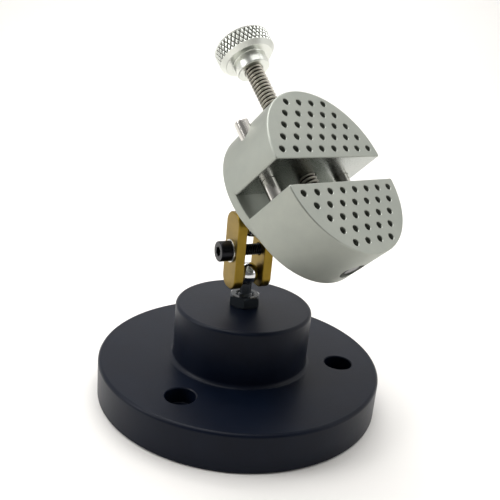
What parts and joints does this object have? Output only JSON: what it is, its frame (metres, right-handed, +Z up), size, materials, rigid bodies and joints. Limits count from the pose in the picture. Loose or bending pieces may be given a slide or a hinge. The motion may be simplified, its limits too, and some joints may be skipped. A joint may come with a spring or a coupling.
{
  "type": "watch movement holder",
  "caption": "Ball-jointed bench vise for watch movements: heavy round base, clamped double-ball arm, round two-jaw head with pin holes and a knurled lead-screw knob.",
  "frame": {"origin": "centre of the base's underside, on the axis of the base", "axes": "+Z up along the base's axis; the arm and head are posed, so the jaw face looks towards +X, -Y and up"},
  "size_m": [0.1, 0.1, 0.1265],
  "materials": {
    "base_paint": "satin",
    "black_steel": "black oxide",
    "zinc_washer": "zinc plated",
    "polished_ball": "polished",
    "yellow_plate": "yellow zinc plated steel",
    "turned_steel": "bright turned",
    "ground_pin": "ground and polished",
    "satin_aluminium": "satin",
    "knurled_aluminium": "knurled and satin"
  },
  "bodies": {
    "stand": {"base": "base_paint", "lower_stud": "black_steel", "lower_lock_nut": "black_steel"},
    "lower_ball_turn": {"lower_ball": "polished_ball"},
    "clamp_arm": {"clamp_plate_head_side": "yellow_plate", "clamp_plate_thread_side": "yellow_plate"},
    "clamp_washer_body": {"clamp_washer": "zinc_washer"},
    "clamp_screw_body": {"clamp_screw": "black_steel"},
    "upper_ball_turn": {"upper_ball": "polished_ball"},
    "vise_head": {"upper_stud": "turned_steel", "upper_lock_nut": "black_steel", "fixed_jaw": "satin_aluminium"},
    "jaw_carriage": {"moving_jaw": "satin_aluminium", "guide_pin_left": "ground_pin", "guide_pin_right": "ground_pin"},
    "lead_screw_body": {"lead_screw": "turned_steel", "retainer_washer": "zinc_washer", "retainer_screw": "black_steel", "knob": "knurled_aluminium", "knob_set_screw": "black_steel"}
  },
  "joints": [
    {"name": "arm_swivel", "type": "hinge", "parent": "stand", "child": "lower_ball_turn", "pos_m": [0, 0, 0.0451], "axis": [0, 0, 1], "continuous": true},
    {"name": "arm_tilt", "type": "hinge", "parent": "lower_ball_turn", "child": "clamp_arm", "pos_m": [0, 0, 0.0451], "axis": [0.8894, 0.4571, 0], "range_deg": [-45, 15]},
    {"name": "clamp_screw_travel", "type": "slide", "parent": "clamp_arm", "child": "clamp_washer_body", "axis": [-0.8894, -0.4571, 0], "range_m": [0, 0.0014]},
    {"name": "clamp_screw_turn", "type": "hinge", "parent": "clamp_washer_body", "child": "clamp_screw_body", "pos_m": [0, 0, 0.0538], "axis": [-0.8894, -0.4571, 0], "range_deg": [-0.5, 720.5]},
    {"name": "head_tilt", "type": "hinge", "parent": "clamp_arm", "child": "upper_ball_turn", "pos_m": [0, 0, 0.0625], "axis": [0.8894, 0.4571, 0], "range_deg": [-62, 5]},
    {"name": "head_swivel", "type": "hinge", "parent": "upper_ball_turn", "child": "vise_head", "pos_m": [0, 0, 0.0625], "axis": [0.5276, -0.4826, 0.6991], "continuous": true},
    {"name": "jaw_slide", "type": "slide", "parent": "vise_head", "child": "jaw_carriage", "axis": [0.4708, -0.5189, -0.7135], "range_m": [-0.0083, 0.0137]},
    {"name": "lead_screw_turn", "type": "hinge", "parent": "jaw_carriage", "child": "lead_screw_body", "pos_m": [0.01557, -0.01424, 0.08312], "axis": [0.4708, -0.5189, -0.7135], "range_deg": [-2390.9, 3946.1]}
  ],
  "couplings": [
    {"joint": "clamp_screw_turn", "follows": "clamp_screw_travel", "rad_per_m": 8976},
    {"joint": "lead_screw_turn", "follows": "jaw_slide", "rad_per_m": 5026.5}
  ]
}
